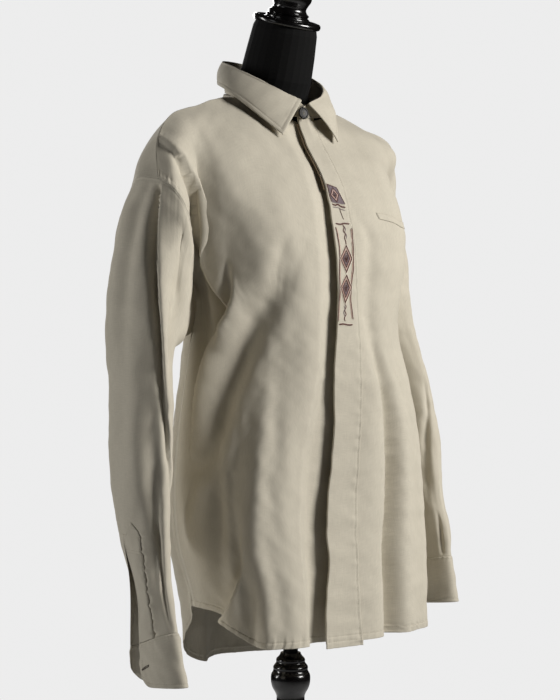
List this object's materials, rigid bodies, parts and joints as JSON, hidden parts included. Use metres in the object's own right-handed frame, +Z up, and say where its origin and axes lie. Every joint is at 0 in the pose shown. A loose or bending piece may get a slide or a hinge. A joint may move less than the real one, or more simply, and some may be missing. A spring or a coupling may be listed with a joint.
{
  "type": "embroidered shirt on dress form",
  "caption": "Loose long-sleeved cotton shirt with a covered button front, turned-down collar, open cuffs and embroidered band, worn by a limbless dress form on a turned stand.",
  "frame": {"origin": "middle of the stand base's underside, on the floor", "axes": "+Z up, the shirt's front faces -Y, the wearer's left is +X"},
  "size_m": [0.5734, 0.34, 1.5666],
  "materials": {
    "beige_cotton": "matte plain weave",
    "black_jersey": "matte fine knit",
    "black_lacquer": "gloss black lacquer",
    "dark_horn": "polished"
  },
  "bodies": {
    "root": {"right_front": "beige_cotton", "left_front": "beige_cotton", "front_placket": "beige_cotton", "fly_underlay": "beige_cotton", "pocket_welt": "beige_cotton", "back": "beige_cotton", "yoke": "beige_cotton", "right_sleeve": "beige_cotton", "left_sleeve": "beige_cotton", "right_sleeve_placket": "beige_cotton", "left_sleeve_placket": "beige_cotton", "right_cuff": "beige_cotton", "left_cuff": "beige_cotton", "collar_stand": "beige_cotton", "collar_leaf": "beige_cotton", "collar_button": "dark_horn", "pocket_button": "dark_horn", "form_torso": "black_jersey", "neck_cap": "black_lacquer", "stand_pole": "black_lacquer", "stand_column": "black_lacquer", "stand_base": "black_lacquer"}
  },
  "joints": []
}
